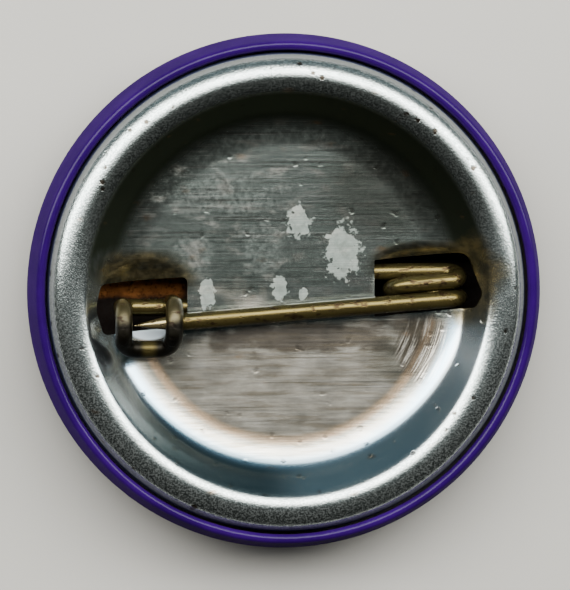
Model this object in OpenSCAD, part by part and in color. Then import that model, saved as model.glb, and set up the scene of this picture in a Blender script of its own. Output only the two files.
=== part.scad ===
// One-inch button badge with a one-piece spring wire pin, lying face down.
// Millimetres. +Z points out of the back, +X and +Y lie across it, and the front face rests on z = 0.

/* [Badge] */
// Outside diameter of the finished badge
badge_d = 25.4; // [25.2:0.1:26.0]
// Radius of the flat middle of the front face
flat_r = 4.5; // [3:0.5:6]
// Radius of the gentle dome between the flat middle and the shoulder
dome_r = 36; // [30:1:45]
// Radius of the rounded shoulder
shoulder_r = 2; // [1.8:0.1:2.2]
// Inward lean of the side wall, in degrees
wall_lean = 15; // [13:0.5:16]
// Height of the side wall between the shoulder and the folded edge
wall_h = 1.1; // [1.0:0.02:1.2]

/* [Layers] */
// Thickness of the clear film
film_t = 0.05; // [0.04:0.01:0.08]
// Thickness of the printed paper
paper_t = 0.09; // [0.08:0.01:0.12]
// Thickness of the front shell's steel
shell_t = 0.2; // [0.18:0.01:0.22]
// How far the film and the paper reach down inside the folded edge
tuck_h = 0.75; // [0.5:0.05:0.9]

/* [Back plate] */
// Thickness of the back plate's steel
plate_t = 0.25; // [0.2:0.01:0.28]
// Height of the floor's upper face
floor_z = 2.85; // [2.8:0.01:2.9]
// Radius of the flat floor
floor_r = 7.14; // [7.05:0.01:7.2]
// Radius of the hollow curve between the floor and the wall
hollow_r = 2.61; // [2.5:0.01:2.66]
// Slope of the dish wall, in degrees
wall_slope = 45; // [42:1:48]
// Radius at which the rim is highest
crest_r = 10.58; // [10.5:0.01:10.64]
// Radius of the rim's curve on its inner side
crest_in_r = 1.04; // [0.95:0.01:1.1]
// Radius of the rim's curve on its outer side
crest_out_r = 1.2; // [1.12:0.01:1.21]
// Height of the underside of the foot that locks the plate in the shell
foot_z = 2.75; // [2.7:0.01:2.8]

/* [Wire] */
// Diameter of the brass wire
wire_d = 0.85; // [0.8:0.01:0.86]
// Height of the wire's centreline where it runs under the floor
low_z = 2.15; // [2.05:0.01:2.16]
// Height of the centreline of the coil's lower strand
coil_low_z = 1.6; // [1.5:0.01:1.65]
// Height of the centreline of the coil's upper strand
coil_high_z = 3.4; // [3.38:0.01:3.45]
// Height of the centreline of the closed pin
pin_z = 3.86; // [3.85:0.01:3.88]

/* [Catch] */
// Distance between the catch's two legs
catch_w = 2.5; // [2.46:0.01:2.54]
// Radius of the arch that passes over the pin
arch_r = 0.98; // [0.97:0.01:1.0]
// Radius of the two corners at the catch's mouth
mouth_r = 0.7; // [0.66:0.01:0.72]

/* [Hidden] */
$fn = 48;

wire_r = wire_d / 2;

// The outline of the front, seen in section: x is the radius, y is the height.
dome_end = asin((badge_d / 2 - flat_r - shoulder_r) / (dome_r - shoulder_r));
dome_c = [flat_r, dome_r];
shoulder_c = dome_c + (dome_r - shoulder_r) * toward(-90 + dome_end);
wall_up = toward(90 + wall_lean);
wall_in = toward(180 + wall_lean);
wall_foot = shoulder_c - shoulder_r * wall_in;
fold_r = film_t + paper_t + shell_t / 2;
fold_c = wall_foot + wall_h * wall_up + fold_r * wall_in;

// The outline of the back plate, in the same section.
hollow_c = [floor_r, floor_z + hollow_r];
slope_l = (crest_r - floor_r - (hollow_r + crest_in_r) * sin(wall_slope)) / cos(wall_slope);
slope_foot = hollow_c + hollow_r * toward(wall_slope - 90);
slope_top = slope_foot + slope_l * toward(wall_slope);
crest_in_c = slope_top - crest_in_r * toward(wall_slope + 90);
crest_z = crest_in_c.y + crest_in_r;
crest_out_c = [crest_r, crest_z - crest_out_r];
edge_r = crest_r + crest_out_r;
foot_r = badge_d / 2 - film_t - paper_t - shell_t - 0.09;

// Each slot's outline: corners as [x, y, rounding radius], anticlockwise.
catch_slot = [[-9.12, 0.44, 0.3], [-9.42, -0.72, 1.5], [-9, -2.05, 0.35],
              [-4.84, -1.68, 0.2], [-4.84, 0.75, 0.25]];
coil_slot = [[4.42, 1.53, 0.06], [4.42, -1.28, 0.06], [9.3, -0.79, 0.3],
             [9.62, -0.1, 0.6], [8.93, 1.93, 0.55]];

// The wire's route. The base runs under the floor from the catch to the coil.
catch_x = -8.08;
catch_y = -0.53;
base_y = -0.79;
base_split = [-6.8, base_y, low_z];
base_turn_in = [-4.2, base_y, low_z];
base_turn_out = [3.2, 0.88, low_z];
base_turn_r = 3;
loop_low = [8.58, 0.915, low_z];
loop_high = [8.58, 0.54, coil_high_z];
loop_r = 0.62;
// The coil: its upper strand, its left bend, its lower strand and its right bend.
left_high = [5.3, 0.245, coil_high_z];
left_low = [5.3, -0.1, coil_low_z];
upper_split = between(loop_high, left_high, 7.7);
left_r = 0.85;
right_low = [8.65, -0.36, coil_low_z];
right_high = [8.65, -0.345, coil_high_z];
right_r = 0.88;
// The pin rises out of the coil, levels off and runs straight to its point.
pin_tip = [-7.5, -1.57, pin_z];
pin_level = [4.9, -0.6, pin_z];
pin_level_r = 4;
arm_split_x = 7.55;
arm_split = between(right_high, pin_level, arm_split_x);
taper_x = -5;
taper_start = between(pin_level, pin_tip, taper_x);
taper_mid = between(pin_level, pin_tip, -6.1);
taper_mid_r = 0.285;
tip_r = 0.04;
// A bend is this much thinner than the straights, which lap this far into it.
bend_thinning = 0.002;
lap = 0.01;
// The catch: up the far leg, over the pin, across the mouth and back down the near leg.
catch_top_z = pin_z + arch_r;
mouth_y = -2.7;
mouth_z = 4.1;
brow_y = -2.05;
brow_r = 0.5;
leg_turn_r = 0.7;
// How far the near leg leans towards the far one, at its brow and at the mouth.
lean_at_brow = 0.06;
lean_at_mouth = 0.24;
near_end_z = low_z + wire_d + 0.05;

function toward(a) = [cos(a), sin(a)];
function unit(v) = v / norm(v);
function reversed(list) = [for (i = [len(list) - 1 : -1 : 0]) list[i]];
// The points of an arc, without its first one, in steps of about so many degrees.
function arc(c, r, from, to, step = 6) =
    let (n = ceil(abs(to - from) / step)) [for (i = [1 : n]) c + r * toward(from + (to - from) * i / n)];
// The point at this x on the line from one point to another.
function between(from, to, x) = from + (to - from) * (x - from.x) / (to.x - from.x);
// How much of each straight a rounded corner uses up.
function corner_use(before, at, after, r) =
    r * tan(acos(unit(at - before) * unit(after - at)) / 2);
// The points of one rounded corner of an outline.
function rounded(before, at, after, r, steps = 6) =
    let (p = [before.x, before.y], q = [at.x, at.y], s = [after.x, after.y],
         use = corner_use(p, q, s, r), u = unit(q - p), v = unit(s - q),
         side = sign(u.x * v.y - u.y * v.x),
         c = q - use * u + side * r * [-u.y, u.x],
         turn = acos(u * v), a = atan2(-side * u.x, side * u.y))
    [for (i = [0 : steps]) c + r * toward(a + side * turn * i / steps)];
function outline(corners) =
    let (n = len(corners))
    [for (i = [0 : n - 1])
        each rounded(corners[(i + n - 1) % n], corners[i], corners[(i + 1) % n], corners[i][2])];

// The section of the front at a depth below its outer face, from the middle to the top of the shoulder.
function front_line(depth) = [
    [0, depth], [flat_r, depth],
    each arc(dome_c, dome_r - depth, -90, dome_end - 90, 1.5),
    each arc(shoulder_c, shoulder_r - depth, dome_end - 90, wall_lean)];
// The section over the shell's edge at a depth below the outer face.
function fold_line(depth) = [
    wall_foot + wall_h * wall_up + depth * wall_in,
    each arc(fold_c, fold_r - depth, wall_lean, 180 + wall_lean, 12)];
// The section of a wrapped layer's face: the front, the fold and the part tucked down inside.
function wrap_line(depth) = [
    each front_line(depth), each fold_line(depth),
    fold_c + (fold_r - depth) * wall_in - tuck_h * wall_up];
// The section of the back plate at a depth below its upper face, from the middle to the outer edge.
function plate_line(depth) = [
    [0, floor_z - depth], [floor_r, floor_z - depth],
    each arc(hollow_c, hollow_r + depth, -90, wall_slope - 90),
    crest_in_c + (crest_in_r - depth) * toward(90 + wall_slope),
    each arc(crest_in_c, crest_in_r - depth, 90 + wall_slope, 90),
    each arc(crest_out_c, crest_out_r - depth, 90, 0)];

// A straight piece of wire along +Z that laps into the bends beside it, with what follows at its end.
module run(length, lap_in, lap_out) {
    translate([0, 0, -lap_in]) cylinder(r = wire_r, h = length + lap_in + lap_out);
    translate([0, 0, length]) children();
}

// A bend of the wire from +Z towards +X, with what follows it at its end.
module bend(r, turn) {
    translate([r, 0, 0]) rotate([90, 0, 180])
        rotate_extrude(angle = turn) translate([r, 0]) circle(wire_r - bend_thinning);
    translate([r * (1 - cos(turn)), 0, r * sin(turn)]) rotate([0, turn, 0]) children();
}

// The wire from one point of a route to its end, drawn in the frame of its last bend.
// used is the length that the bend at this point took, and side is that frame's X axis.
module onward(route, radii, i, used, side) {
    u = unit(route[i + 1] - route[i]);
    length = norm(route[i + 1] - route[i]) - used;
    lap_in = i == 0 ? 0 : lap;
    if (i + 2 == len(route)) run(length, lap_in, 0);
    else {
        v = unit(route[i + 2] - route[i + 1]);
        use = corner_use(route[i], route[i + 1], route[i + 2], radii[i + 1]);
        n = unit(v - u * (u * v));
        turn = acos(u * v);
        run(length - use, lap_in, lap)
            rotate([0, 0, atan2(n * cross(u, side), n * side)])
                bend(radii[i + 1], turn)
                    onward(route, radii, i + 1, use, n * cos(turn) - u * sin(turn));
    }
}

// Wire along a route with rounded corners: radii has one value per point, 0 at both ends.
module wire(route, radii) {
    d = unit(route[1] - route[0]);
    tilt = acos(d.z);
    heading = atan2(d.y, d.x);
    translate(route[0]) rotate([0, tilt, heading])
        onward(route, radii, 0, 0, [cos(tilt) * cos(heading), cos(tilt) * sin(heading), -sin(tilt)]);
}

module front_shell() {
    outer = film_t + paper_t;
    color("silver") rotate_extrude()
        polygon([each front_line(outer), each fold_line(outer),
                 each reversed(front_line(outer + shell_t))]);
}

module wrapped_layer(outer, inner) {
    rotate_extrude() polygon([each wrap_line(outer), each reversed(wrap_line(inner))]);
}

module print_paper() {
    color("indigo") wrapped_layer(film_t, film_t + paper_t);
}

module clear_film() {
    color("mediumpurple", 0.4) wrapped_layer(0, film_t);
}

// The dished plate and its locking foot, before the slots are cut.
module plate_blank() {
    foot = [[edge_r, foot_z + plate_t], [foot_r, foot_z + plate_t],
            [foot_r, foot_z], [edge_r - plate_t, foot_z]];
    rotate_extrude() polygon([each plate_line(0), each foot, each reversed(plate_line(plate_t))]);
}

module back_plate() {
    color("lightslategray") difference() {
        plate_blank();
        for (slot = [catch_slot, coil_slot])
            linear_extrude(crest_z + 1) polygon(outline(slot));
    }
}

module base_wire() {
    color("darkgoldenrod")
        wire([base_split, base_turn_in, base_turn_out, loop_low, loop_high, upper_split],
             [0, base_turn_r, base_turn_r, loop_r, loop_r, 0]);
}

module catch_hook() {
    near_x = catch_x + catch_w;
    color("goldenrod")
        wire([base_split, [catch_x, base_y, low_z], [catch_x, catch_y, catch_top_z],
              [catch_x, brow_y, catch_top_z], [catch_x, mouth_y, mouth_z],
              [near_x - lean_at_mouth, mouth_y, mouth_z],
              [near_x - lean_at_brow, brow_y, catch_top_z],
              [near_x, catch_y, catch_top_z], [near_x, catch_y, near_end_z - wire_r]],
             [0, leg_turn_r, arch_r, brow_r, mouth_r, mouth_r, brow_r, arch_r, 0]);
}

module spring_coil() {
    color("gold")
        wire([upper_split, left_high, left_low, right_low, right_high, arm_split],
             [0, left_r, left_r, right_r, right_r, 0]);
}

module pin_arm() {
    color("khaki") wire([arm_split, pin_level, taper_start], [0, pin_level_r, 0]);
}

// The ground point: two tapers and a tiny round end.
module pin_point() {
    d = pin_tip - taper_start;
    mid = norm(taper_mid - taper_start);
    color("moccasin") translate(taper_start) rotate([0, 90, atan2(d.y, d.x)]) {
        cylinder(r1 = wire_r, r2 = taper_mid_r, h = mid);
        translate([0, 0, mid]) cylinder(r1 = taper_mid_r, r2 = tip_r, h = norm(d) - mid - tip_r);
        translate([0, 0, norm(d) - tip_r]) sphere(tip_r);
    }
}

front_shell();
print_paper();
clear_film();
back_plate();
base_wire();
catch_hook();
spring_coil();
pin_arm();
pin_point();
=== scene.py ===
"""The looks of a one-inch button badge that lies face down: purple film folded over the shell's edge,
a dished steel back with two slots, and a one-piece brass wire pin.

Sections and routes are in millimetres, meshes in metres."""

import math

import bmesh
import bpy
from mathutils import Matrix, Vector, noise


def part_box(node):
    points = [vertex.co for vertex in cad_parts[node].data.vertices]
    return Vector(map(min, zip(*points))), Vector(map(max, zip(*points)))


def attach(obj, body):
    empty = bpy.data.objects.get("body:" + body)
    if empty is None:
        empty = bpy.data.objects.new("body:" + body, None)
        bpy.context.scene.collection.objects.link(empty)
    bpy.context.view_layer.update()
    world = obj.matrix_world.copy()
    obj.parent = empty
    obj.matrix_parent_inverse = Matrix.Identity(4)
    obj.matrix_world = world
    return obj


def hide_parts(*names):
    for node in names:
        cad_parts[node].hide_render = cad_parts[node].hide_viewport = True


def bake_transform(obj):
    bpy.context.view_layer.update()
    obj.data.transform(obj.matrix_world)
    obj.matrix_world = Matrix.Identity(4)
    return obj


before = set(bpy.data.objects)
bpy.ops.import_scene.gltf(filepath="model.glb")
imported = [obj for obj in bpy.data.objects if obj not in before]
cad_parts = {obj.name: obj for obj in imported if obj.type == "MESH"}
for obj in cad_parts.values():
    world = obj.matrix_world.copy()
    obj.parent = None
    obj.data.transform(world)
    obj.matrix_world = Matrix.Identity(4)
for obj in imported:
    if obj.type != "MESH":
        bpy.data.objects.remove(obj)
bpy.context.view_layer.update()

MM = 0.001
ROUND = 2 * math.pi


def mm(v):
    """A length or point of the frame in millimetres."""
    return v / MM


# ---------------------------------------------------------------- sizes, from the frame and the design
_, film_high = (mm(v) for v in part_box("clear_film"))
plate_low, plate_high = (mm(v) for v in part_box("back_plate"))

BADGE_R = film_high.x
FLAT_R, DOME_R, SHOULDER_R, WALL_LEAN, WALL_H = 4.5, 36, 2, 15, 1.1
FILM_T, PAPER_T, SHELL_T, TUCK_H = 0.05, 0.09, 0.2, 0.75

PLATE_T, FLOOR_Z, FLOOR_R, HOLLOW_R, WALL_SLOPE = 0.25, 2.85, 7.14, 2.61, 45
CREST_R, CREST_IN_R, CREST_OUT_R = 10.58, 1.04, 1.2
FOOT_Z, FOOT_R = plate_low.z, plate_high.x

WIRE_R, LOW_Z, COIL_LOW_Z, COIL_HIGH_Z, PIN_Z = 0.425, 2.15, 1.6, 3.4, 3.86
CATCH_X, CATCH_Y, CATCH_W, ARCH_R, BASE_Y = -8.08, -0.53, 2.5, 0.98, -0.79
# How uneven the wire is, as a share of its radius, and how often that repeats in a millimetre.
WIRE_WEAR, WEAR_SCALE = 0.012, 1.7

# Slot outlines as corners: x, y, rounding radius.
CATCH_SLOT = [(-9.12, 0.44, 0.3), (-9.42, -0.72, 1.5), (-9, -2.05, 0.35), (-4.84, -1.68, 0.2),
              (-4.84, 0.75, 0.25)]
COIL_SLOT = [(4.42, 1.53, 0.06), (4.42, -1.28, 0.06), (9.3, -0.79, 0.3), (9.62, -0.1, 0.6),
             (8.93, 1.93, 0.55)]


# ---------------------------------------------------------------- plane geometry
def toward(a):
    """The unit vector at an angle in degrees."""
    a = math.radians(a)
    return Vector((math.cos(a), math.sin(a)))


def arc(c, r, start, end, step=3.0):
    """The points of an arc, without its first one."""
    n = max(1, math.ceil(abs(end - start) / step))
    return [c + r * toward(start + (end - start) * i / n) for i in range(1, n + 1)]


def refined(points, step):
    """The same open line with no gap over step."""
    out = [points[0]]
    for a, b in zip(points, points[1:]):
        n = max(1, math.ceil((b - a).length / step))
        out += [a.lerp(b, i / n) for i in range(1, n + 1)]
    return out


DOME_END = math.degrees(math.asin((BADGE_R - FLAT_R - SHOULDER_R) / (DOME_R - SHOULDER_R)))
DOME_C = Vector((FLAT_R, DOME_R))
SHOULDER_C = DOME_C + (DOME_R - SHOULDER_R) * toward(DOME_END - 90)
WALL_UP, WALL_IN = toward(90 + WALL_LEAN), toward(180 + WALL_LEAN)
WALL_FOOT = SHOULDER_C - SHOULDER_R * WALL_IN
FOLD_R = FILM_T + PAPER_T + SHELL_T / 2
FOLD_C = WALL_FOOT + WALL_H * WALL_UP + FOLD_R * WALL_IN

HOLLOW_C = Vector((FLOOR_R, FLOOR_Z + HOLLOW_R))
SLOPE_L = (CREST_R - FLOOR_R - (HOLLOW_R + CREST_IN_R) * toward(WALL_SLOPE).y) / toward(WALL_SLOPE).x
SLOPE_TOP = HOLLOW_C + HOLLOW_R * toward(WALL_SLOPE - 90) + SLOPE_L * toward(WALL_SLOPE)
CREST_IN_C = SLOPE_TOP - CREST_IN_R * toward(WALL_SLOPE + 90)
CREST_Z = CREST_IN_C.y + CREST_IN_R
CREST_OUT_C = Vector((CREST_R, CREST_Z - CREST_OUT_R))
EDGE_R = CREST_R + CREST_OUT_R


def front_line(depth):
    """The front's section from the axis to the foot of the wall, at a depth below its surface."""
    return [
        Vector((0, depth)),
        Vector((FLAT_R, depth)),
        *arc(DOME_C, DOME_R - depth, -90, DOME_END - 90, 0.4),
        *arc(SHOULDER_C, SHOULDER_R - depth, DOME_END - 90, WALL_LEAN),
    ]


def fold_line(depth):
    """The section round the folded edge, at a depth below its surface."""
    return [
        WALL_FOOT + WALL_H * WALL_UP + depth * WALL_IN,
        *arc(FOLD_C, FOLD_R - depth, WALL_LEAN, 180 + WALL_LEAN, 9),
    ]


def wrap_line(depth):
    """The whole section of a sheet that wraps the shell, down to its tucked-in end."""
    end = FOLD_C + (FOLD_R - depth) * WALL_IN - TUCK_H * WALL_UP
    return [*front_line(depth), *fold_line(depth), end]


def plate_line(depth):
    """The back plate's section from the axis to its outer flank, at a depth below its top."""
    return [
        Vector((0, FLOOR_Z - depth)),
        Vector((FLOOR_R, FLOOR_Z - depth)),
        *arc(HOLLOW_C, HOLLOW_R + depth, -90, WALL_SLOPE - 90, 2),
        CREST_IN_C + (CREST_IN_R - depth) * toward(90 + WALL_SLOPE),
        *arc(CREST_IN_C, CREST_IN_R - depth, 90 + WALL_SLOPE, 90, 4),
        *arc(CREST_OUT_C, CREST_OUT_R - depth, 90, 0, 4),
    ]


def rounded_corner(a, b, c, r, step):
    """The arc that rounds corner b of a route or outline in space, with both of its ends."""
    u, v = (b - a).normalized(), (c - b).normalized()
    turn = math.acos(max(-1, min(1, u.dot(v))))
    if turn < 1e-6 or r == 0:
        return [b]
    use = r * math.tan(turn / 2)
    n = (v - u * u.dot(v)).normalized()
    centre = b - use * u + r * n
    steps = max(2, math.ceil(math.degrees(turn) / step))
    angles = [turn * i / steps for i in range(steps + 1)]
    return [centre + r * (math.sin(t) * u - math.cos(t) * n) for t in angles]


def outline(corners, step=9):
    """A closed outline with rounded corners, in the plane."""
    points = [Vector((x, y, 0)) for x, y, _ in corners]
    n = len(points)
    out = []
    for i, (_, _, r) in enumerate(corners):
        out += rounded_corner(points[i - 1], points[i], points[(i + 1) % n], r, step)
    return out


# ---------------------------------------------------------------- meshes
def new_object(name, mesh):
    o = bpy.data.objects.new(name, mesh)
    bpy.context.scene.collection.objects.link(o)
    return o


def shade(o, angle=40):
    """Smooth shading, with edges sharper than angle kept crisp."""
    o.data.shade_smooth()
    o.data.set_sharp_from_angle(angle=math.radians(angle))


def revolve(name, section, segments, shape=None):
    """A closed section in millimetres turned about Z. shape moves each point, in millimetres."""
    shape = shape or (lambda p: p)
    n = len(section)
    verts, faces = [], []
    for s in range(segments):
        a = ROUND * s / segments
        for q in section:
            verts.append(shape(Vector((q.x * math.cos(a), q.x * math.sin(a), q.y))) * MM)
    for s in range(segments):
        t = (s + 1) % segments
        for i in range(n):
            j = (i + 1) % n
            if section[i].x < 1e-6 and section[j].x < 1e-6:
                continue
            faces.append((s * n + i, t * n + i, t * n + j, s * n + j))
    mesh = bpy.data.meshes.new(name)
    mesh.from_pydata(verts, [], faces)
    bm = bmesh.new()
    bm.from_mesh(mesh)
    on_axis = [v for v in bm.verts if v.co.xy.length < 1e-8]
    bmesh.ops.remove_doubles(bm, verts=on_axis, dist=1e-8)
    bmesh.ops.recalc_face_normals(bm, faces=bm.faces)
    bm.to_mesh(mesh)
    bm.free()
    return new_object(name, mesh)


def prism(name, points, low, high):
    """An outline in millimetres pulled up from one height to another."""
    mesh = bpy.data.meshes.new(name)
    n = len(points)
    verts = [Vector((p.x, p.y, z)) * MM for z in (low, high) for p in points]
    sides = [(i, (i + 1) % n, n + (i + 1) % n, n + i) for i in range(n)]
    mesh.from_pydata(verts, [], [tuple(reversed(range(n))), tuple(range(n, 2 * n)), *sides])
    return new_object(name, mesh)


def cut(o, cutters):
    """Takes the cutters out of o, and removes them."""
    bpy.context.view_layer.objects.active = o
    for c in cutters:
        m = o.modifiers.new("cut", "BOOLEAN")
        m.operation, m.object, m.solver = "DIFFERENCE", c, "EXACT"
        bpy.ops.object.modifier_apply(modifier=m.name)
        bpy.data.objects.remove(c)


def route_line(route, radii, step=5, gap=0.12):
    """The centreline of a wire along corners with rounding radii, as evenly fine points."""
    points = [Vector(p) for p in route]
    out = [points[0]]
    for a, b, c, r in zip(points, points[1:], points[2:], radii[1:]):
        out += rounded_corner(a, b, c, r, step)
    return refined([*out, points[-1]], gap)


# The angles, in degrees, at which a rounded wire end gets its rings.
CAP_TURNS = (30, 60, 80)


def tube(name, line, radius, sides=48, caps=(0.0, 0.0)):
    """A wire along a line in millimetres. radius is a number or a function of the length so far, and
    caps says how far each end is rounded over."""
    size = radius if callable(radius) else (lambda s: radius)
    at = [0.0]
    for a, b in zip(line, line[1:]):
        at.append(at[-1] + (b - a).length)
    rings = [(p, s, 1.0) for p, s in zip(line, at)]
    for end, cap in enumerate(caps):
        if cap:
            p, q = (line[0], line[1]) if end == 0 else (line[-1], line[-2])
            out = (p - q).normalized() * cap
            turns = [math.radians(k) for k in CAP_TURNS]
            extra = [(p + out * (math.sin(t) - 1), at[-end], math.cos(t)) for t in turns]
            keep = [r for r in rings if (r[0] - p).length > cap * 1.05]
            start = [(p - out, at[-end], 1.0)]
            rings = [*reversed(extra), *start, *keep] if end == 0 else [*keep, *start, *extra]
    tangents = []
    for i in range(len(rings)):
        a, b = rings[max(0, i - 1)][0], rings[min(len(rings) - 1, i + 1)][0]
        tangents.append((b - a).normalized())
    side = tangents[0].orthogonal().normalized()
    verts, faces = [], []
    for i, (p, s, shrink) in enumerate(rings):
        side = (side - tangents[i] * side.dot(tangents[i])).normalized()
        other = tangents[i].cross(side)
        for k in range(sides):
            a = ROUND * k / sides
            out = math.cos(a) * side + math.sin(a) * other
            worn = 1 + WIRE_WEAR * noise.noise((p + out * WIRE_R) * WEAR_SCALE)
            verts.append((p + out * size(s) * shrink * worn) * MM)
    for i in range(len(rings) - 1):
        for k in range(sides):
            m = (k + 1) % sides
            faces.append((i * sides + k, i * sides + m, (i + 1) * sides + m, (i + 1) * sides + k))
    last = (len(rings) - 1) * sides
    faces.append(tuple(reversed(range(sides))))
    faces.append(tuple(range(last, last + sides)))
    mesh = bpy.data.meshes.new(name)
    mesh.from_pydata(verts, [], faces)
    bm = bmesh.new()
    bm.from_mesh(mesh)
    bmesh.ops.recalc_face_normals(bm, faces=bm.faces)
    bm.to_mesh(mesh)
    bm.free()
    o = new_object(name, mesh)
    shade(o, 50)
    return o


# ---------------------------------------------------------------- material helpers
class Nodes:
    """A material's node tree, with short calls for the nodes used here."""

    def __init__(self, name):
        self.material = bpy.data.materials.new(name)
        self.material.use_nodes = True
        self.tree = self.material.node_tree
        self.shader = self.tree.nodes["Principled BSDF"]
        self.coords = self.node("ShaderNodeTexCoord").outputs["Object"]

    def node(self, kind, **settings):
        n = self.tree.nodes.new(kind)
        for key, value in settings.items():
            setattr(n, key, value)
        return n

    def put(self, socket, value):
        if isinstance(value, bpy.types.NodeSocket):
            self.tree.links.new(value, socket)
        else:
            socket.default_value = value

    def place(self, scale=(1, 1, 1), offset=(0, 0, 0)):
        """Object coordinates in millimetres, stretched."""
        n = self.node("ShaderNodeMapping")
        self.put(n.inputs["Vector"], self.coords)
        n.inputs["Scale"].default_value = [s / MM for s in scale]
        n.inputs["Location"].default_value = offset
        return n.outputs["Vector"]

    def noise(self, scale=(1, 1, 1), offset=(0, 0, 0), detail=3.0, rough=0.55, distortion=0.0):
        n = self.node("ShaderNodeTexNoise")
        self.put(n.inputs["Vector"], self.place(scale, offset))
        n.inputs["Scale"].default_value = 1.0
        n.inputs["Detail"].default_value = detail
        n.inputs["Roughness"].default_value = rough
        n.inputs["Distortion"].default_value = distortion
        return n.outputs["Fac"]

    def cells(self, scale=(1, 1, 1), offset=(0, 0, 0)):
        n = self.node("ShaderNodeTexVoronoi")
        self.put(n.inputs["Vector"], self.place(scale, offset))
        n.inputs["Scale"].default_value = 1.0
        return n.outputs["Distance"]

    def math(self, operation, a, b=0.0):
        n = self.node("ShaderNodeMath", operation=operation)
        self.put(n.inputs[0], a)
        self.put(n.inputs[1], b)
        return n.outputs[0]

    def ramp(self, value, low, high, to_low=0.0, to_high=1.0):
        """value from low to high, smoothly, as to_low to to_high."""
        n = self.node("ShaderNodeMapRange", interpolation_type="SMOOTHSTEP")
        self.put(n.inputs["Value"], value)
        for key, v in (("From Min", low), ("From Max", high), ("To Min", to_low), ("To Max", to_high)):
            n.inputs[key].default_value = v
        return n.outputs["Result"]

    def mix(self, amount, a, b):
        """Two colours, mixed."""
        n = self.node("ShaderNodeMix", data_type="RGBA")
        self.put(n.inputs[0], amount)
        self.put(n.inputs[6], (*a, 1) if isinstance(a, tuple) else a)
        self.put(n.inputs[7], (*b, 1) if isinstance(b, tuple) else b)
        return n.outputs[2]

    def blend_value(self, amount, a, b):
        """Two numbers, mixed."""
        n = self.node("ShaderNodeMix", data_type="FLOAT")
        self.put(n.inputs[0], amount)
        self.put(n.inputs[2], a)
        self.put(n.inputs[3], b)
        return n.outputs[0]

    def split(self, vector):
        n = self.node("ShaderNodeSeparateXYZ")
        self.put(n.inputs[0], vector)
        return n.outputs

    def bump(self, height, distance, strength=1.0, normal=None):
        """Height from 0 to 1 over distance in millimetres."""
        n = self.node("ShaderNodeBump")
        n.inputs["Strength"].default_value = strength
        n.inputs["Distance"].default_value = distance * MM
        self.put(n.inputs["Height"], height)
        if normal is not None:
            self.put(n.inputs["Normal"], normal)
        return n.outputs["Normal"]

    def finish(self, colour, metallic, roughness, normal=None, **fixed):
        s = self.shader.inputs
        self.put(s["Base Color"], (*colour, 1) if isinstance(colour, tuple) else colour)
        self.put(s["Metallic"], metallic)
        self.put(s["Roughness"], roughness)
        if normal is not None:
            self.put(s["Normal"], normal)
        for key, value in fixed.items():
            s[key.replace("_", " ")].default_value = value
        return self.material


# ---------------------------------------------------------------- materials
def film_material():
    """Clear film on deep purple print, with a painted sheen that makes the side wall a little paler, and
    fine pale specks.
    """
    n = Nodes("purple_film")
    mottle = n.noise((0.35, 0.35, 0.35), detail=4)
    speckle = n.noise((26, 26, 26), detail=2)
    facing_up = n.split(n.node("ShaderNodeTexCoord").outputs["Normal"])[2]
    # Painted sheen: faces that stand upright, on the side wall, get a paler purple than faces that look up.
    upright = n.ramp(n.math("ABSOLUTE", facing_up), 0.15, 0.6, 1, 0)
    bead = n.mix(n.ramp(mottle, 0.3, 0.7), (0.0100, 0.0001, 0.043), (0.0150, 0.0003, 0.060))
    wall = n.mix(n.ramp(mottle, 0.3, 0.7), (0.014, 0.0012, 0.052), (0.021, 0.0034, 0.070))
    colour = n.mix(upright, bead, wall)
    colour = n.mix(n.ramp(speckle, 0.60, 0.75, 0, 0.4), colour, (0.06, 0.025, 0.14))
    rub = n.ramp(n.noise((1.2, 1.2, 5.0), detail=5), 0.45, 0.75, 0.4, 0.6)
    waves = n.bump(n.noise((0.9, 0.9, 0.5), detail=2), 0.012)
    grain = n.bump(n.noise((14, 14, 14), detail=3), 0.0016, normal=waves)
    return n.finish(colour, 0.0, rub, grain, Coat_Weight=0.06, Coat_IOR=2.2, Coat_Roughness=0.08,
                    Specular_IOR_Level=0.0)


def paper_material():
    """Purple paper with fine fibres."""
    n = Nodes("purple_paper")
    fibres = n.noise((9, 9, 30), detail=4)
    colour = n.mix(n.ramp(fibres, 0.35, 0.7), (0.03, 0.006, 0.24), (0.09, 0.05, 0.36))
    return n.finish(colour, 0.0, n.ramp(fibres, 0.2, 0.8, 0.7, 0.9), n.bump(fibres, 0.01))


def shell_material():
    """Inside of the shell: near-black steel, with rust under the catch."""
    n = Nodes("rusty_steel")
    x, y, _ = n.split(n.place())
    cloud = n.noise((0.5, 0.5, 0.5), detail=5, distortion=0.4)
    fine = n.noise((5, 5, 5), detail=4)
    near = n.math("MULTIPLY", n.ramp(x, -5.2, -4.6, 1, 0), n.ramp(n.math("ADD", y, cloud), 0.0, 0.5))
    rust = n.mix(n.ramp(cloud, 0.35, 0.65), (0.20, 0.068, 0.013), (0.34, 0.125, 0.030))
    colour = n.mix(near, (0.006, 0.004, 0.003), rust)
    colour = n.mix(n.ramp(fine, 0.5, 0.7, 0, 0.7), colour, (0.008, 0.004, 0.002))
    rough = n.ramp(fine, 0.3, 0.7, 0.7, 0.9)
    return n.finish(colour, 0.0, rough, n.bump(fine, 0.02), Specular_IOR_Level=0.1)


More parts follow.
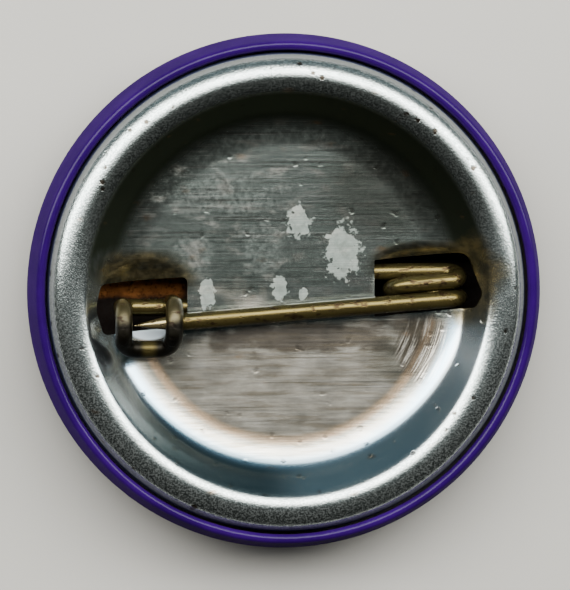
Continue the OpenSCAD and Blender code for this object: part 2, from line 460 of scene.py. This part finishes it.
def brass_material():
    """Tarnished brass wire with brown specks, lighter on upward faces as painted top light, with a painted
    highlight on the pin's tip, and the catch's front painted near black as shade, with a painted glint in
    the middle of its bar.
    """
    n = Nodes("worn_brass_and_painted_light")
    x, y, z = n.split(n.place())
    cloud = n.noise((0.5, 0.9, 0.9), detail=4, distortion=0.3)
    specks = n.noise((1.9, 3.2, 3.2), detail=4, rough=0.65)
    drawn = n.noise((0.6, 20, 20), detail=2)
    # Painted top light: faces that look up get a lighter colour, on the wire and on the catch.
    up = n.ramp(n.split(n.node("ShaderNodeTexCoord").outputs["Normal"])[2], 0.55, 0.98, 0.0, 0.75)
    gold = n.mix(n.ramp(cloud, 0.3, 0.7), (0.036, 0.032, 0.012), (0.062, 0.050, 0.017))
    gold = n.mix(up, gold, (0.100, 0.077, 0.025))
    brown = n.mix(n.ramp(cloud, 0.3, 0.7), (0.028, 0.023, 0.010), (0.050, 0.040, 0.016))
    brown = n.mix(up, brown, (0.070, 0.062, 0.036))
    hook = n.math("MULTIPLY", n.ramp(x, -5.3, -5.1, 1, 0), n.ramp(z, 2.6, 3.2))
    above_pin = n.math("MAXIMUM", n.ramp(z, 4.25, 4.35), n.ramp(y, -2.1, -2.0, 1, 0))
    hook = n.math("MULTIPLY", hook, above_pin)
    # Painted highlight: the upward faces of the pin's tip get a bright gold.
    tip = n.math("MULTIPLY", n.math("MULTIPLY", n.ramp(x, -6.2, -5.4, 1, 0), n.ramp(z, 3.4, 3.5)), up)
    gold = n.mix(tip, gold, (0.32, 0.26, 0.13))
    colour = n.mix(hook, gold, brown)
    colour = n.mix(n.ramp(specks, 0.54, 0.62, 0, 0.85), colour, (0.024, 0.013, 0.007))
    # Painted shade: the catch's front is made near black, with a painted gold glint in the middle of its
    # bar.
    glint = n.ramp(n.math("ABSOLUTE", n.math("SUBTRACT", x, CATCH_X + CATCH_W / 2)), 0.1, 0.5, 1, 0)
    front = n.math("MULTIPLY", n.ramp(n.math("ADD", y, cloud), -1.1, -0.4, 0.95, 0), hook)
    colour = n.mix(front, colour, n.mix(glint, (0.0025, 0.0020, 0.0010), (0.045, 0.035, 0.010)))
    rough = n.blend_value(hook, n.ramp(cloud, 0.3, 0.7, 0.20, 0.30), 0.40)
    normal = n.bump(n.ramp(specks, 0.52, 0.68, 1, 0), 0.010)
    normal = n.bump(drawn, 0.003, normal=normal)
    return n.finish(colour, 0.82, rough, normal, Specular_IOR_Level=0.3)


# Marks on the back plate, as ovals: x, y, half width, half height.
# Dried white spots.
SPOTS = [(0.7, 3.4, 0.58, 0.72), (2.85, 2.0, 0.85, 1.2), (-3.85, -0.05, 0.38, 0.75),
         (-0.27, 0.15, 0.36, 0.5), (0.85, -0.1, 0.22, 0.3)]
# Brown-green stains that the brass left round both slots.
STAINS = [(-7.0, 0.7, 2.4, 1.4), (7.4, 0.9, 3.2, 1.5), (9.0, 0.4, 1.2, 2.2)]
# Cloudy patches on the upper floor.
HAZES = [(-3.0, 4.9, 2.9, 1.2), (-4.6, 2.0, 1.3, 1.0), (-1.2, 2.4, 1.0, 1.4)]
# Painted shadows: dark streaks on the floor below the pin.
PAINTED_PIN_SHADOWS = [(1.6, -2.25, 6.2, 0.75), (6.2, -2.2, 1.4, 0.9)]
# Where the lower floor is scratched.
SCRATCHED = [(6.9, -2.9, 1.5, 1.7)]
# Darker parts of the floor.
SHADED = [(5.0, 5.2, 3.2, 2.6), (-6.6, -3.2, 2.2, 2.2), (6.6, -3.4, 2.4, 1.9)]
# A painted highlight: the bright patch inside the catch, where the plate mirrors the lamp.
PAINTED_CATCH_HIGHLIGHT = [(-6.75, -1.95, 0.95, 0.42)]


# Radii, in millimetres, between which each zone of the plate's look fades in or out.
FLOOR_END, RIM_START, CREST_INSIDE = (7.8, 8.8), (9.7, 10.2), (10.5, 10.95)
EDGE_START, EDGE_END, NEAR_BEAD, IN_GAP = (11.44, 11.52), (11.62, 11.68), (11.62, 11.70), (11.84, 11.90)


def blobs(n, x, y, places):
    """How far a point is from the nearest oval: 1 on its outline, less inside, and never over 2."""
    nearest = 2.0
    for cx, cy, w, h in places:
        dx = n.math("DIVIDE", n.math("SUBTRACT", x, cx), w)
        dy = n.math("DIVIDE", n.math("SUBTRACT", y, cy), h)
        d = n.math("SQRT", n.math("ADD", n.math("MULTIPLY", dx, dx), n.math("MULTIPLY", dy, dy)))
        nearest = n.math("MINIMUM", nearest, d)
    return nearest


def steel_material():
    """Tinned steel: a grainy rim, a smooth, shiny wall and a brushed, stained floor, with painted light,
    shade and reflections.
    """
    n = Nodes("stained_steel_and_painted_light")
    x, y, _ = n.split(n.place())
    flat = n.node("ShaderNodeCombineXYZ")
    n.put(flat.inputs[0], x)
    n.put(flat.inputs[1], y)
    length = n.node("ShaderNodeVectorMath", operation="LENGTH")
    n.put(length.inputs[0], flat.outputs[0])
    r = length.outputs["Value"]
    on_floor = n.ramp(r, *FLOOR_END, 1, 0)
    on_rim = n.ramp(r, *RIM_START)

    cloud = n.noise((0.28, 0.4, 1), detail=5, distortion=0.5)
    patches = n.noise((0.8, 1.6, 1), (7, 3, 0), detail=5)
    brushed = n.noise((0.12, 9, 1), detail=5, rough=0.75)
    brushed_fine = n.noise((0.35, 30, 1), (3, 1, 0), detail=3)
    grain = n.noise((12, 12, 12), detail=2)
    grain_coarse = n.noise((3.5, 3.5, 3.5), (5, 0, 0), detail=3)

    # Painted light: the floor gets lighter and warmer towards the bottom, standing in for the lamp's light
    # on the floor's lower half.
    lower = n.ramp(n.math("ADD", y, n.ramp(cloud, 0.2, 0.8, -2.0, 2.0)), -2.5, 0.0, 1, 0)
    floor = n.mix(lower, (0.27, 0.32, 0.29), (0.50, 0.475, 0.40))
    floor = n.mix(n.ramp(patches, 0.52, 0.72, 0, 0.5), floor, (0.62, 0.60, 0.53))
    floor = n.mix(n.ramp(cloud, 0.52, 0.75, 0, 0.6), floor, (0.17, 0.19, 0.175))
    floor = n.mix(n.ramp(brushed, 0.50, 0.68, 0, 0.7), floor, (0.15, 0.15, 0.13))
    floor = n.mix(n.ramp(brushed_fine, 0.52, 0.72, 0, 0.55), floor, (0.78, 0.77, 0.72))
    # Painted shadow of the pin: dark streaks on the floor below it.
    pin_shadow = n.math("ADD", blobs(n, x, y, PAINTED_PIN_SHADOWS), n.ramp(patches, 0.2, 0.8, -0.5, 0.5))
    pin_shadow = n.ramp(pin_shadow, 0.6, 1.2, 1, 0)
    floor = n.mix(n.math("MULTIPLY", pin_shadow, 0.75), floor, (0.115, 0.095, 0.075))
    streaks = n.noise((0.35, 3.5, 1), (1, 8, 0), detail=6, rough=0.7)
    brown = n.math("MULTIPLY", n.ramp(streaks, 0.46, 0.62), lower)
    floor = n.mix(n.math("MULTIPLY", brown, 0.65), floor, (0.25, 0.215, 0.155))
    shaded = n.ramp(blobs(n, x, y, SHADED), 0.5, 1.3, 1, 0)
    floor = n.mix(n.math("MULTIPLY", shaded, 0.6), floor, (0.10, 0.105, 0.085))
    wall = n.mix(n.ramp(cloud, 0.35, 0.7), (0.50, 0.57, 0.60), (0.62, 0.66, 0.66))
    # Painted shade: the dish wall darkens towards the top, where it faces away from the lamp.
    upper_wall_shade = n.ramp(n.math("ADD", y, n.ramp(cloud, 0.2, 0.8, -1.0, 1.0)), -1.5, 2.5)
    off_dim = n.math("ABSOLUTE", n.math("ADD", x, 3.5))
    dim = n.math("MULTIPLY", n.ramp(off_dim, 2.0, 5.0, 1, 0), n.ramp(y, -6, -4, 0.85, 0))
    wall = n.mix(dim, wall, (0.10, 0.145, 0.15))
    # Painted highlight fringe: a blue band on the lower side of the dish wall, at the edge of the lamp's
    # reflection.
    painted_blue_fringe = n.math("MULTIPLY", n.math("MULTIPLY", n.ramp(r, 7.9, 8.3), n.ramp(r, 8.5, 8.9, 1, 0)), lower)
    wall = n.mix(n.math("MULTIPLY", painted_blue_fringe, 0.7), wall, (0.33, 0.60, 0.80))
    wall = n.mix(upper_wall_shade, wall, (0.045, 0.055, 0.038))
    lit = n.math("MULTIPLY", n.math("MULTIPLY", n.ramp(r, 7.0, 7.3), n.ramp(r, 7.4, 7.7, 1, 0)), lower)
    floor = n.mix(n.math("MULTIPLY", lit, 0.5), floor, (0.92, 0.62, 0.36))
    around = n.node("ShaderNodeCombineXYZ")
    n.put(around.inputs[0], n.math("MULTIPLY", r, 11.0))
    n.put(around.inputs[1], n.math("MULTIPLY", n.math("ARCTAN2", y, x), 3.0))
    arcs = n.node("ShaderNodeTexNoise")
    n.put(arcs.inputs["Vector"], around.outputs[0])
    arcs.inputs["Scale"].default_value = 1.0
    arcs.inputs["Detail"].default_value = 2.0
    scratched = n.ramp(blobs(n, x, y, SCRATCHED), 0.7, 1.1, 1, 0)
    scratches = n.math("MULTIPLY", scratched, n.ramp(arcs.outputs["Fac"], 0.5, 0.62))
    floor = n.mix(n.math("MULTIPLY", scratched, 0.7), floor, (0.11, 0.09, 0.065))
    floor = n.mix(scratches, floor, (0.66, 0.62, 0.54))
    rim = n.mix(n.ramp(grain, 0.37, 0.65), (0.25, 0.295, 0.285), (0.60, 0.66, 0.64))
    rim = n.mix(n.ramp(grain_coarse, 0.55, 0.8, 0, 0.4), rim, (0.20, 0.22, 0.20))
    colour = n.mix(on_floor, wall, floor)
    colour = n.mix(on_rim, colour, rim)
    # Painted shade: on the upper half of the rim the inner side of the crest is darkened, which narrows the
    # lamp's reflection there.
    upper_rim = n.math("MULTIPLY", n.ramp(y, 0.0, 5.0), on_rim)
    inside = n.math("MULTIPLY", n.ramp(r, *CREST_INSIDE, 1, 0), upper_rim)
    colour = n.mix(n.math("MULTIPLY", inside, 0.65), colour, (0.11, 0.125, 0.115))

    ragged = n.noise((2.4, 2.4, 1), (2, 2, 0), detail=5, rough=0.65)
    pits = n.math("ADD", n.cells((1.3, 1.3, 1.3)), n.ramp(grain_coarse, 0.3, 0.7, -0.05, 0.07))
    pits = n.ramp(pits, 0.13, 0.24, 1, 0)
    pits = n.math("MULTIPLY", pits, n.ramp(n.noise((0.9, 0.9, 0.9), (0, 9, 0)), 0.46, 0.58))
    pitted = n.math("MULTIPLY", pits, n.ramp(on_rim, 0.0, 1.0, 0.35, 0.95))
    colour = n.mix(pitted, colour, (0.04, 0.03, 0.02))

    spots = n.math("ADD", blobs(n, x, y, SPOTS), n.ramp(ragged, 0.2, 0.8, -0.6, 0.6))
    spots = n.ramp(spots, 0.78, 1.12, 1, 0)
    spots = n.math("MULTIPLY", spots, n.ramp(ragged, 0.3, 0.7, 0.5, 0.9))
    colour = n.mix(spots, colour, (0.080, 0.096, 0.083))

    rust = n.ramp(n.cells((0.55, 1.0, 1), (0, 4, 0)), 0.0, 0.25, 1, 0)
    rust = n.math("MULTIPLY", rust, n.ramp(patches, 0.5, 0.62))
    colour = n.mix(n.math("MULTIPLY", rust, 0.6), colour, (0.30, 0.17, 0.07))

    stain = n.math("ADD", blobs(n, x, y, STAINS), n.ramp(cloud, 0.2, 0.8, -0.15, 0.15))
    stain = n.ramp(stain, 0.75, 1.2, 1, 0)
    stain_colour = n.mix(n.ramp(patches, 0.4, 0.6), (0.10, 0.085, 0.040), (0.27, 0.21, 0.085))
    colour = n.mix(n.math("MULTIPLY", stain, 0.85), colour, stain_colour)

    # Painted highlight: a pale line round the plate's outer edge, stronger towards the top, where the edge
    # catches the lamp.
    edge = n.math("MULTIPLY", n.ramp(r, *EDGE_START), n.ramp(r, *EDGE_END, 1, 0))
    # Painted reflection: the plate's outer face beside the bead is coloured dark purple, as if mirroring
    # the bead.
    painted_bead_reflection = n.ramp(r, *NEAR_BEAD)
    # Painted shade: near black in the narrow gap between the plate and the bead.
    painted_gap_shade = n.ramp(r, *IN_GAP)
    # Painted highlight: a bright patch inside the catch, where the plate mirrors the lamp.
    painted_catch_highlight = n.ramp(blobs(n, x, y, PAINTED_CATCH_HIGHLIGHT), 0.8, 1.1, 1, 0)
    colour = n.mix(painted_catch_highlight, colour, (0.70, 0.80, 0.86))
    edge = n.math("MULTIPLY", edge, n.ramp(y, -5.0, 4.0, 0.45, 0.9))
    colour = n.mix(edge, colour, (0.22, 0.23, 0.215))
    colour = n.mix(painted_bead_reflection, colour, (0.020, 0.023, 0.055))
    colour = n.mix(painted_gap_shade, colour, (0.006, 0.004, 0.008))

    haze = n.math("ADD", blobs(n, x, y, HAZES), n.ramp(patches, 0.2, 0.8, 0.7, -0.7))
    haze = n.ramp(haze, 0.6, 1.3, 1, 0)
    crumbs = n.noise((4, 6, 1), (4, 4, 0), detail=4, rough=0.65)
    haze = n.math("MULTIPLY", haze, n.ramp(crumbs, 0.42, 0.58, 0.3, 1.0))
    rough = n.math("ADD", n.ramp(brushed, 0.35, 0.75, 0.20, 0.16), n.ramp(lower, 0.0, 1.0, 0.0, 0.05))
    rough = n.blend_value(on_floor, n.blend_value(upper_wall_shade, 0.14, 0.32), rough)
    rough = n.blend_value(on_rim, rough, n.ramp(grain, 0.3, 0.7, 0.21, 0.17))
    rough = n.blend_value(spots, rough, 0.75)
    rough = n.blend_value(n.math("MAXIMUM", edge, painted_bead_reflection), rough, 0.5)
    # Dull tin scatters light as well as mirroring it: little on the wall, more on the hazy patches, and
    # most on the white spots. The extra dullness of the lower floor paints the lamp's light there, and the
    # most dullness also carries the painted highlight in the catch and the painted reflection beside the
    # bead.
    dull_above = n.ramp(grain_coarse, 0.35, 0.7, 0.025, 0.055)
    dull = n.blend_value(lower, dull_above, n.ramp(patches, 0.3, 0.7, 0.09, 0.22))
    dull = n.blend_value(haze, dull, n.ramp(grain_coarse, 0.3, 0.65, 0.04, 0.19))
    dull = n.blend_value(on_floor, 0.01, dull)
    dull = n.blend_value(on_rim, dull, n.ramp(grain, 0.37, 0.65, 0.019, 0.070))
    dull = n.blend_value(spots, dull, 0.9)
    dull = n.blend_value(edge, dull, 0.45)
    dull = n.blend_value(painted_bead_reflection, dull, 0.97)
    dull = n.blend_value(painted_catch_highlight, dull, 0.85)
    metal = n.math("SUBTRACT", 1.0, dull)

    strokes = n.math("ADD", n.math("MULTIPLY", brushed, 0.7), n.math("MULTIPLY", brushed_fine, 0.3))
    normal = n.bump(n.blend_value(on_floor, 0.5, strokes), 0.004)
    grains = n.math("ADD", n.math("MULTIPLY", grain, 0.6), n.math("MULTIPLY", grain_coarse, 0.4))
    normal = n.bump(n.blend_value(on_rim, 0.5, grains), 0.013, normal=normal)
    normal = n.bump(n.math("SUBTRACT", 1.0, pits), 0.006, normal=normal)
    return n.finish(colour, metal, rough, normal)


# ---------------------------------------------------------------- pieces
def add(o, material, body, slot, *nodes):
    """Gives a piece its material, the nodes it replaces, and the body it rides on. slot is not used."""
    o.data.materials.clear()
    o.data.materials.append(material)
    if nodes:
        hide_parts(*nodes)
    if body:
        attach(o, body)
    return o


# The film's gathers, of three kinds: how closely they follow each other round the rim, how far they move
# the film in millimetres, and a shift that keeps the long ones apart from the rest.
FINE_GATHERS, FINEST_GATHERS, LONG_GATHERS = (22, 0.012, 0), (60, 0.006, 0), (2.2, 0.02, 4)
GATHER_FADE = 0.3


def gathers(ring, closeness, reach, shift):
    """How far out one kind of gather moves the film at a place round the rim."""
    return noise.noise(ring * closeness + Vector((0, 0, shift))) * reach


def pleats(p):
    """Small gathers where the flat film had to turn over the round edge, and none on the front."""
    if p.z <= WALL_FOOT.y:
        return p
    r = math.hypot(p.x, p.y)
    a = math.atan2(p.y, p.x)
    inner = max(0.0, min(1.0, (FOLD_C.x + 0.1 - r) / GATHER_FADE))
    ring = Vector((math.cos(a), math.sin(a), 0.0))
    wave = gathers(ring, *FINE_GATHERS) + gathers(ring, *FINEST_GATHERS)
    long_wave = gathers(ring, *LONG_GATHERS)
    grow = 1 + (wave * inner + long_wave * inner) / max(r, 1)
    return Vector((p.x * grow, p.y * grow, p.z))


# Steps round the film, paper and plate, and round the hidden shell.
FINE_RING, SHELL_RING = 512, 256


def make_front():
    film, paper, steel = film_material(), paper_material(), shell_material()
    for name, node, outer, inner, look, slot in (
        ("film_over_print", "clear_film", 0.0, FILM_T, film, "film"),
        ("printed_paper", "print_paper", FILM_T, FILM_T + PAPER_T, paper, "print"),
    ):
        section = [*refined(wrap_line(outer), 0.35), *reversed(refined(wrap_line(inner), 0.35))]
        o = revolve(name, section, FINE_RING, pleats)
        shade(o, 60)
        add(o, look, "badge", slot, node)
    outer = FILM_T + PAPER_T
    section = [*front_line(outer), *fold_line(outer), *reversed(front_line(outer + SHELL_T))]
    o = revolve("shell_cup", refined(section, 0.5), SHELL_RING)
    shade(o, 60)
    add(o, steel, "badge", "shell_steel", "front_shell")


# Each pressed lip above a slot: circle centre x, y, radius, how deep and wide it is, its left and right
# end, the length over which the right end fades, and the heights y between which it sets in.
LIPS = [(-6.95, -0.72, 2.4, 0.38, 1.15, -9.5, -4.5, 0.6, 0.0, 0.5),
        (6.8, -2.15, 4.55, 0.34, 0.72, 4.25, 9.9, 1.3, -0.3, 1.1)]
# The shallower lips below the slots: circle centre x, y, radius, depth, width, left and right end.
LOW_LIPS = [(-6.9, 1.6, 3.3, 0.3, 0.95, -8.6, -5.2), (6.6, 24.5, 25.45, 0.1, 0.22, 4.4, 9.2)]


def smooth(t):
    """From 0 to 1 with level ends, and held outside that."""
    t = max(0.0, min(1.0, t))
    return t * t * (3 - 2 * t)


def pressed(p):
    """Presses the lips down beside the slots."""
    drop = 0.0
    for cx, cy, radius, depth, width, left, right, fade, none, full in LIPS:
        into = max(0.0, min(1.0, (radius - math.hypot(p.x - cx, p.y - cy)) / width))
        ends = smooth((p.x - left) / 0.6) * smooth((right - p.x) / fade)
        ends *= smooth((p.y - none) / (full - none))
        drop = max(drop, depth * into ** 1.2 * ends)
    for cx, cy, radius, depth, width, left, right in LOW_LIPS:
        into = max(0.0, min(1.0, (radius - math.hypot(p.x - cx, p.y - cy)) / width))
        ends = smooth((p.x - left) / 0.5) * smooth((right - p.x) / 0.5)
        drop = max(drop, depth * into ** 1.5 * ends * smooth((-0.4 - p.y) / 0.4))
    return Vector((p.x, p.y, p.z - drop))


# From which height to which the slots' cutters reach: well below and above the plate's floor.
CUTTER_Z = 1.6, 6


def make_plate():
    foot = [Vector((EDGE_R, FOOT_Z + PLATE_T)), Vector((FOOT_R, FOOT_Z + PLATE_T)),
            Vector((FOOT_R, FOOT_Z)), Vector((EDGE_R - PLATE_T, FOOT_Z))]
    gap = 0.12
    section = [*refined(plate_line(0), gap), *foot, *reversed(refined(plate_line(PLATE_T), gap))]
    o = revolve("dished_back", section, FINE_RING, pressed)
    cut(o, [prism("slot", outline(s), *CUTTER_Z) for s in (CATCH_SLOT, COIL_SLOT)])
    shade(o, 35)
    add(o, steel_material(), "badge", "plate_steel", "back_plate")


def between(a, b, x):
    """The point of the line from a to b that has this x."""
    return Vector(a).lerp(Vector(b), (x - a[0]) / (b[0] - a[0]))


def make_wire():
    brass = brass_material()
    near_x = CATCH_X + CATCH_W
    catch_top = PIN_Z + ARCH_R
    # The catch's mouth and brow: their places, how far in they sit, and their bend radii.
    mouth_y, mouth_z, mouth_in, mouth_r = -2.7, 4.1, 0.24, 0.7
    brow_y, brow_in, brow_r = -2.05, 0.06, 0.5
    # The bend radii of the catch's first leg and of the loop and the coil's two turns.
    leg_turn, loop_turn, left_turn, right_turn = 0.7, 0.62, 0.85, 0.88
    base_split = (-6.8, BASE_Y, LOW_Z)
    loop_low, loop_high = (8.58, 0.915, LOW_Z), (8.58, 0.54, COIL_HIGH_Z)
    left_high, left_low = (5.3, 0.245, COIL_HIGH_Z), (5.3, -0.1, COIL_LOW_Z)
    right_low, right_high = (8.65, -0.36, COIL_LOW_Z), (8.65, -0.345, COIL_HIGH_Z)
    level, tip = (4.9, -0.6, PIN_Z), (-7.5, -1.57, PIN_Z)
    # One piece of wire ends and the next begins at each of these, given by its x.
    upper_split = between(loop_high, left_high, 7.7)
    flex = between(upper_split, left_high, 6.6)
    rise = between(left_low, right_low, 7.6)
    arm_start = between(right_high, level, 7.55)
    taper = between(level, tip, -5.0)
    # The catch's second leg stops just above the top of the base.
    end_gap = 0.05
    near_end = LOW_Z + WIRE_R + end_gap

    base = route_line([base_split, (-4.2, BASE_Y, LOW_Z), (3.2, 0.88, LOW_Z), loop_low, loop_high,
                       upper_split], [0, 3, 3, loop_turn, loop_turn, 0])
    add(tube("wire_base", base, WIRE_R), brass, "badge", "wire_brass", "base_wire")

    hook = route_line([base_split, (CATCH_X, BASE_Y, LOW_Z), (CATCH_X, CATCH_Y, catch_top),
                       (CATCH_X, brow_y, catch_top), (CATCH_X, mouth_y, mouth_z),
                       (near_x - mouth_in, mouth_y, mouth_z), (near_x - brow_in, brow_y, catch_top),
                       (near_x, CATCH_Y, catch_top), (near_x, CATCH_Y, near_end)],
                      [0, leg_turn, ARCH_R, brow_r, mouth_r, mouth_r, brow_r, ARCH_R, 0])
    add(tube("wire_catch", hook, WIRE_R, caps=(0, 0.08)), brass, "badge", "wire_brass", "catch_hook")

    # The coil's first and last stretches ride on no body, and its middle rides on the coil.
    first = tube("wire_coil_root", route_line([upper_split, flex], [0, 0]), WIRE_R)
    add(first, brass, None, "wire_brass", "spring_coil")
    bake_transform(first)
    middle = route_line([flex, left_high, left_low, rise], [0, left_turn, left_turn, 0])
    add(tube("wire_coil", middle, WIRE_R), brass, "coil", "wire_brass", "spring_coil")
    bend = route_line([rise, right_low, right_high, arm_start], [0, right_turn, right_turn, 0])
    last = tube("wire_coil_bend", bend, WIRE_R)
    add(last, brass, None, "wire_brass", "spring_coil")
    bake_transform(last)

    arm = route_line([arm_start, level, taper], [0, 4, 0])
    add(tube("wire_pin_arm", arm, WIRE_R), brass, "pin", "wire_brass", "pin_arm")
    point = refined([taper, Vector(tip)], 0.05)
    length = (Vector(tip) - taper).length

    def ground(s):
        """The pin's radius towards its tip: a long taper that gets steeper."""
        t = s / length
        return max(0.03, WIRE_R * (1 - 0.62 * t - 0.36 * t ** 3))

    add(tube("wire_pin_point", point, ground), brass, "pin", "wire_brass", "pin_point")


# ---------------------------------------------------------------- camera, floor and light
# How much of the scene the picture shows from top to bottom, and the camera's focal length, in millimetres.
PICTURE_H_MM = 28.96
LENS = 250.0
VIEW_FROM = Vector((-0.10, 0.065, 1.0)).normalized()
AIM = Vector((-0.083, -0.128, 3.5)) * MM
# How far the lamps lean back from straight above, in degrees, and each one's name, distance and size in
# metres, and power in watts.
LAMP_LEAN, LAMP_COLOUR = 31, (1.0, 0.99, 0.96)
LAMPS = [("wide_lamp", 0.16, (0.8, 0.13), 1.63), ("strip_lamp", 0.155, (0.8, 0.068), 1.71)]
FLOOR_HALF = 0.6
# The surroundings go from dark on the near side to a dim blue on the far side.
SKY_NEAR, SKY_FAR, SKY_SPAN = (0.006, 0.006, 0.005, 1), (0.048, 0.112, 0.145, 1), (-0.2, 0.95)


def make_camera():
    data = bpy.data.cameras.new("camera")
    data.lens = LENS
    cam = bpy.data.objects.new("camera", data)
    bpy.context.scene.collection.objects.link(cam)
    distance = PICTURE_H_MM * LENS / data.sensor_width * MM
    side = Vector((0, 1, 0)).cross(VIEW_FROM).normalized()
    up = VIEW_FROM.cross(side)
    turn = Matrix((side, up, VIEW_FROM)).transposed().to_4x4()
    cam.matrix_world = Matrix.Translation(AIM + VIEW_FROM * distance) @ turn
    data.clip_start, data.clip_end = 0.01, 10
    bpy.context.scene.camera = cam


def area_light(name, place, size, energy, colour):
    data = bpy.data.lights.new(name, "AREA")
    data.shape = "RECTANGLE"
    data.size, data.size_y = size
    data.energy = energy
    data.color = colour
    o = bpy.data.objects.new(name, data)
    bpy.context.scene.collection.objects.link(o)
    back = Vector(place).normalized()
    side = Vector((1, 0, 0))
    up = back.cross(side).normalized()
    o.matrix_world = Matrix.Translation(place) @ Matrix((side, up, back)).transposed().to_4x4()


def make_stage():
    mesh = bpy.data.meshes.new("floor")
    half = FLOOR_HALF
    corners = [(-half, -half, 0), (half, -half, 0), (half, half, 0), (-half, half, 0)]
    mesh.from_pydata(corners, [], [(0, 1, 2, 3)])
    o = new_object("floor", mesh)
    n = Nodes("pale_floor")
    tone = n.ramp(n.noise((0.05, 0.05, 0.05)), 0.3, 0.7)
    pale = n.mix(tone, (0.325, 0.318, 0.295), (0.345, 0.337, 0.312))
    o.data.materials.append(n.finish(pale, 0.0, 0.9))
    lean = math.radians(LAMP_LEAN)
    toward_lamp = Vector((0, math.sin(lean), math.cos(lean)))
    for name, away, size, power in LAMPS:
        area_light(name, toward_lamp * away, size, power, LAMP_COLOUR)
    world = bpy.data.worlds.new("studio")
    world.use_nodes = True
    tree = world.node_tree
    way = tree.nodes.new("ShaderNodeTexCoord")
    split = tree.nodes.new("ShaderNodeSeparateXYZ")
    across = tree.nodes.new("ShaderNodeMapRange")
    mix = tree.nodes.new("ShaderNodeMix")
    mix.data_type = "RGBA"
    tree.links.new(way.outputs["Generated"], split.inputs[0])
    tree.links.new(split.outputs[1], across.inputs["Value"])
    across.inputs["From Min"].default_value, across.inputs["From Max"].default_value = SKY_SPAN
    tree.links.new(across.outputs["Result"], mix.inputs[0])
    mix.inputs[6].default_value = SKY_NEAR
    mix.inputs[7].default_value = SKY_FAR
    tree.links.new(mix.outputs[2], tree.nodes["Background"].inputs["Color"])
    tree.nodes["Background"].inputs["Strength"].default_value = 1.0
    bpy.context.scene.world = world


make_camera()
make_stage()
make_front()
make_plate()
make_wire()
